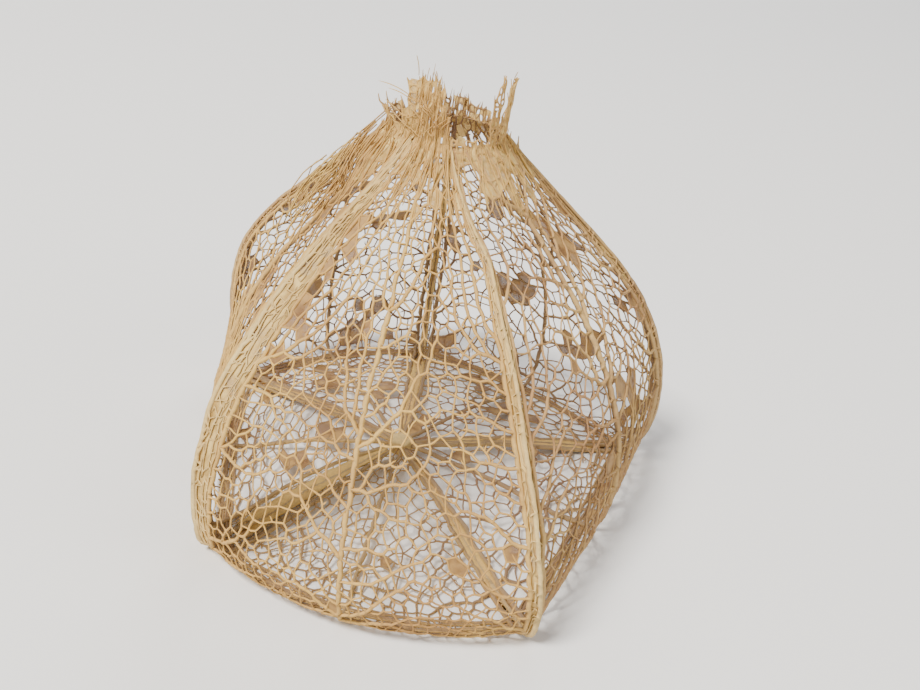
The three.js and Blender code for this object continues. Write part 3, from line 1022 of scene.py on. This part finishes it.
for panel in range(RIB_COUNT):
    net = make_panel(panel)
    gather_skin(net)
    bend_veins(net)
    add_spurs(net, SPUR_SHARE)
    # Painted light and shade: the front and left panels take the lighter, lit copy, the others the
    # darker, shaded copy
    finish_net(f"panel_{panel + 1}", net, lit_veins if panel in (0, 4) else shaded_veins)


def surface_knot(net, turn, along, lift=0.0):
    """Adds a knot at a height above the surface."""
    normal = lantern_normal(turn, min(along, 1.0))
    return net.knot(lantern_point(turn, along) + normal * lift, normal, (turn, along))


def make_rib(rib):
    """Main rib: wandering strands side by side with slanting cross veins between them."""
    net = Net()
    inner = BROAD_RIB_STRANDS if rib == 0 else RIB_STRANDS
    strands = []
    for offset in (-1.0, *inner, 1.0):
        column = []
        along = 0.03
        phase = between(0, 6)
        at_edge = abs(offset) == 1
        midrib = offset == 0
        while along < 1.0:
            sway = 0.0
            if not at_edge:
                sway = 0.08 * math.sin(45 * along + phase) + between(-0.04, 0.04)
            turn = 2 * rib + (offset + sway) * band_turns(rib, along)
            number = surface_knot(net, turn, along, 0.2 * (1 - abs(offset)))
            if column:
                if midrib:
                    half = MIDRIB * (1 - 0.5 * smoothstep(along, 0.3, 1.0))
                else:
                    half = FINEST * pick((0.6, 0.8, 1.3))
                if midrib or at_edge or chance() < 0.9:
                    net.join(column[-1], number, half * between(0.8, 1.05))
            column.append(number)
            along += between(0.007, 0.012)
        strands.append(column)
    for strand, beside in zip(strands, strands[1:]):
        for number in strand:
            if chance() > 0.6:
                continue
            wanted = net.shares[number][1] + between(-0.012, 0.016)
            other = min(beside, key=lambda knot: abs(net.shares[knot][1] - wanted))
            net.join(number, other, FINEST * between(0.5, 0.85))
    return net


for rib in range(RIB_COUNT):
    # The first two ribs are cream; the others take the darker copy painted as shaded
    finish_net(f"rib_{rib + 1}", make_rib(rib), rib_veins if rib < 2 else shaded_veins)


def make_ribbons(name, low, high, fullness):
    """Skin that is left on the bands of the main ribs, as ribbons between their strands."""
    verts, faces = [], []
    across = (-1.0, -0.5, 0.0, 0.5, 1.0)
    wide = len(across)
    for rib in range(RIB_COUNT):
        rows = int((high - low) / RIBBON_ROW)
        base = len(verts)
        held = fullness[rib]
        for row in range(rows + 1):
            along = lerp(low, high, row / rows)
            for share in across:
                edge = held * between(0.8, 1.05) if abs(share) == 1 else held
                turn = 2 * rib + share * edge * band_turns(rib, along)
                normal = lantern_normal(turn, along)
                place = lantern_point(turn, along) + normal * (0.12 * (1 - abs(share)) - 0.04)
                for lift in (SKIN_HALF, -SKIN_HALF):
                    verts.append(above_floor(place + normal * lift))
        for row in range(rows):
            for column in range(wide - 1):
                a = base + 2 * (row * wide + column)
                b, c, d = a + 2, a + 2 + 2 * wide, a + 2 * wide
                faces.append((a, b, c, d))
                faces.append((d + 1, c + 1, b + 1, a + 1))
            for column, turned in ((0, True), (wide - 1, False)):
                a = base + 2 * (row * wide + column)
                side = (a, a + 2 * wide, a + 2 * wide + 1, a + 1)
                faces.append(side if turned else tuple(reversed(side)))
        for row, turned in ((0, False), (rows, True)):
            for column in range(wide - 1):
                a = base + 2 * (row * wide + column)
                side = (a, a + 1, a + 3, a + 2)
                faces.append(tuple(reversed(side)) if turned else side)
    return smooth_object(name, new_mesh(name, verts, faces))


under_ribs = make_ribbons("skin_underside", 0.03, foot_along - 0.02, (0.6, 0.85, 0.8, 0.8, 0.8))
finish_piece(under_ribs, fibre_veins)
side_ribs = make_ribbons("skin_ribs", foot_along, 0.93, (0.96, 0.8, 0.4, 0.45, 0.5))
finish_piece(side_ribs, rib_film_look)


# The crown's turns, heights, leans and shares of skin, to read between its places
crown_turns, crown_heights, crown_leans, crown_skin = zip(*CROWN)


def outwards(place):
    return Vector((place.x, place.y, 0)).normalized()


def join_row(net, numbers, half):
    """Joins knots to a fibre of one width."""
    for first, second in zip(numbers, numbers[1:]):
        net.join(first, second, half)


def crown_height(turn):
    return float(np.interp(turn % TURNS, crown_turns, crown_heights))


def crown_place(turn, height):
    """Point of the crown, at a height above the rim or below it."""
    turn %= TURNS
    lean = float(np.interp(turn, crown_turns, crown_leans))
    if height < 0:
        return lantern_point(turn, 1.0 + height / PROFILE_LENGTH)
    base = lantern_point(turn, 1.0)
    raised = base + Vector((0, 0, height / math.hypot(1, lean)))
    return raised + outwards(base) * (lean * height * 0.8)


def add_crown_strand(net, turn, tall):
    """Wandering strand of the crown, from below the rim to its torn end."""
    strong = pick(CROWN_STRANDS)
    wander = 0.0
    height = CROWN_START
    column = []
    while height < tall:
        place = crown_place(turn + wander, height + between(-0.08, 0.08))
        normal = outwards(place)
        if height > 0:
            place += normal * between(-0.12, 0.12)
        column.append(net.knot(place, normal, (turn, height)))
        if len(column) > 1:
            net.join(column[-2], column[-1], strong * between(0.8, 1.1))
        wander += between(-0.035, 0.035)
        height += between(0.38, 0.55)
    return column


def add_hairs(net, column):
    """Up to two fine hairs at the end of a strand."""
    for _ in range(pick((0, 0, 1, 1, 2))):
        aside = [between(-0.3, 0.3) for _ in range(2)]
        hair = Vector((*aside, between(0.3, 0.9)))
        root = pick(column[-2:])
        net.join(root, net.knot(net.place[root] + hair, net.normal[root]), FINE_HAIR)


def weave_crown(net, columns):
    """Cross fibres between neighbouring strands, and the skin that is left between them."""
    for index, column in enumerate(columns):
        beside = columns[(index + 1) % len(columns)]
        for row in range(1, min(len(column), len(beside))):
            if chance() < 0.7:
                other = beside[max(row + pick((-1, 0, 0)), 0)]
                net.join(column[row], other, FIBRE)
            turn = net.shares[column[row]][0]
            if chance() < crown_skin[np.searchsorted(crown_turns, turn)]:
                corners = [column[row - 1], beside[row - 1], beside[row], column[row]]
                ring = [net.place[number] for number in corners]
                middle = sum(ring, Vector((0, 0, 0))) / 4
                collar_films.append((ring, middle, net.normal[column[row]]))


def add_tangle(net):
    """Fibres that cross the strands of the front peak."""
    for _ in range(34):
        turn = between(-0.4, 1.5)
        height = between(0.1, 2.6)
        drift = between(-0.9, 0.9)
        rise = between(0.3, 1.3)
        fibre = []
        for step in range(6):
            share = step / 5
            place = crown_place(turn + drift * share, height + rise * share)
            normal = outwards(place)
            place += normal * (0.16 + between(-0.06, 0.1))
            fibre.append(net.knot(place, normal))
        join_row(net, fibre, FIBRE)


def add_long_hairs(net):
    for turn, slant, length in LONG_HAIRS:
        low = crown_height(turn) - 0.6
        hair = []
        for step in range(5):
            share = step / 4
            place = crown_place(turn, low + length * share) + Vector((slant * share ** 2, 0, 0))
            hair.append(net.knot(place, outwards(place)))
        join_row(net, hair, HAIR)


def make_crown():
    """Torn crown: a ragged net on strands that run up from the rim."""
    net = Net()
    columns = []
    turn = 0.0
    while turn < TURNS - 0.06:
        tall = crown_height(turn) * between(0.9, 1.03)
        column = add_crown_strand(net, turn, tall)
        columns.append(column)
        if tall > 1:
            add_hairs(net, column)
        turn += between(0.045, 0.075) if tall > 1.6 else between(0.08, 0.12)
    weave_crown(net, columns)
    add_tangle(net)
    add_long_hairs(net)
    return net


def make_hem():
    """Wavy strands that run round the lower edge and cross one another."""
    net = Net()
    for strand in range(HEM_STRANDS):
        offset = between(-0.012, 0.016)
        swing = between(0.002, 0.006)
        pace = pick((3, 4, 5, 7))
        phase = between(0, 6)
        ring = []
        for step in range(HEM_KNOTS):
            turn = TURNS * step / HEM_KNOTS
            wave = swing * math.sin(pace * turn + phase) + between(-0.0012, 0.0012)
            lift = between(-0.05, 0.12)
            ring.append(surface_knot(net, turn, foot_along + offset + wave, lift))
        for step, number in enumerate(ring):
            if (step + 31 * strand) % HEM_BREAK:
                net.join(number, ring[(step + 1) % HEM_KNOTS], between(0.06, 0.11))
            if chance() < 0.06:
                away = net.place[number].normalized() * between(0.15, 0.4)
                away += Vector([between(-0.25, 0.25) for _ in range(3)])
                net.join(number, net.knot(net.place[number] + away, net.normal[number]), HAIR)
    return net


def make_loose_fibres():
    """Loose fibres that stand a little off the back left shoulder."""
    net = Net()
    for _ in range(70):
        turn = source.gauss(8.3, 0.55)
        along = between(0.72, 0.86)
        drift = between(-0.5, 0.3)
        reach = between(0.08, 0.16)
        off = between(0.3, 1.1)
        fibre = []
        for step in range(8):
            share = step / 7
            bow = off * math.sin(math.pi * min(share * 0.8, 0.6))
            lift = bow + between(-0.05, 0.05)
            high = min(along + reach * share, 1.0)
            fibre.append(surface_knot(net, turn + drift * share, high, lift))
        join_row(net, fibre, FIBRE)
    return net


def make_collar():
    """Fibrous collar: strands that run up to the mouth and a little over its rim."""
    net = Net()
    for _ in range(150):
        turn = between(0, TURNS)
        start = between(0.86, 0.96)
        end = between(0.97, 1.0)
        drift = between(-0.25, 0.25)
        lift = between(-0.15, 0.35)
        fibre = []
        for step in range(6):
            share = step / 5
            high = lerp(start, end, share)
            fibre.append(surface_knot(net, turn + drift * share ** 2, high, lift * share))
        for first, second in zip(fibre, fibre[1:]):
            net.join(first, second, between(0.05, 0.09))
        top = fibre[-1]
        rise = Vector((0, 0, between(0.1, 1.3)))
        rise += net.normal[top] * between(-0.4, 0.5)
        net.join(top, net.knot(net.place[top] + rise, net.normal[top]), HAIR)
    return net


finish_rounded("crown", make_crown())
finish_net("hem", make_hem(), fibre_veins)
finish_net("loose_fibres", make_loose_fibres(), fibre_veins)
finish_rounded("collar_fibres", make_collar())
finish_piece(film_mesh("skin_films", films), film_look)
finish_piece(film_mesh("skin_collar", collar_films), rib_film_look)


def make_stub():
    """Stub of the stalk in the hollow of the underside, and the knot of ribs above it."""
    verts, faces = [], []
    low = RIB_PROFILE[0][1] * FOOT_RADIUS - 0.85
    for radius, height in STUB_RINGS:
        for side in range(STUB_SIDES):
            angle = 2 * math.pi * side / STUB_SIDES
            ridge = 1 + 0.1 * math.cos(5 * angle) + between(-0.06, 0.06)
            reach = radius * ridge
            place = Vector((reach * math.cos(angle), reach * math.sin(angle), low + height))
            verts.append(to_frame(place))
    rows = [range(start, start + STUB_SIDES) for start in range(0, len(verts), STUB_SIDES)]
    for below, above in zip(rows, rows[1:]):
        for side in range(STUB_SIDES):
            following = (side + 1) % STUB_SIDES
            faces.append((below[side], below[following], above[following], above[side]))
    faces += [tuple(reversed(rows[0])), tuple(rows[-1])]
    return rounded_object("stalk_stub", new_mesh("stalk_stub", verts, faces))


finish_piece(make_stub(), rib_veins)

# Floor, lights and camera
corners = [(x * FLOOR_HALF, y * FLOOR_HALF, 0) for x, y in ((-1, -1), (1, -1), (1, 1), (-1, 1))]
floor_mesh = new_mesh("floor", corners, [(0, 1, 2, 3)])
floor = new_object("floor", floor_mesh)
floor_look = Look("floor", 0.8)
floor_look.shader.inputs["Base Color"].default_value = (0.88, 0.87, 0.85, 1)
floor_mesh.materials.append(floor_look.material)

world = bpy.data.worlds.new("studio")
bpy.context.scene.world = world
world.use_nodes = True
background = world.node_tree.nodes["Background"]
background.inputs["Color"].default_value = (0.9, 0.93, 1.0, 1)
background.inputs["Strength"].default_value = 0.27


def area_light(name, place, size, power, colour):
    light = bpy.data.lights.new(name, "AREA")
    light.size = size
    light.energy = power
    light.color = colour
    lamp = new_object(name, light)
    lamp.location = place
    lamp.rotation_euler = (-Vector(place)).to_track_quat("-Z", "Y").to_euler()


for light in LIGHTS:
    area_light(*light)

camera_data = bpy.data.cameras.new("camera")
camera_data.lens = CAMERA_LENS
camera_data.clip_start = 0.005
camera = new_object("camera", camera_data)
camera_place = Vector(to_frame(Vector(CAMERA_PLACE)))
camera_aim = Vector(to_frame(Vector(CAMERA_AIM)))
turned = (camera_aim - camera_place).to_track_quat("-Z", "Y").to_matrix().to_4x4()
roll = Matrix.Rotation(math.radians(CAMERA_ROLL), 4, "Z")
camera.matrix_world = Matrix.Translation(camera_place) @ turned @ roll
bpy.context.scene.camera = camera
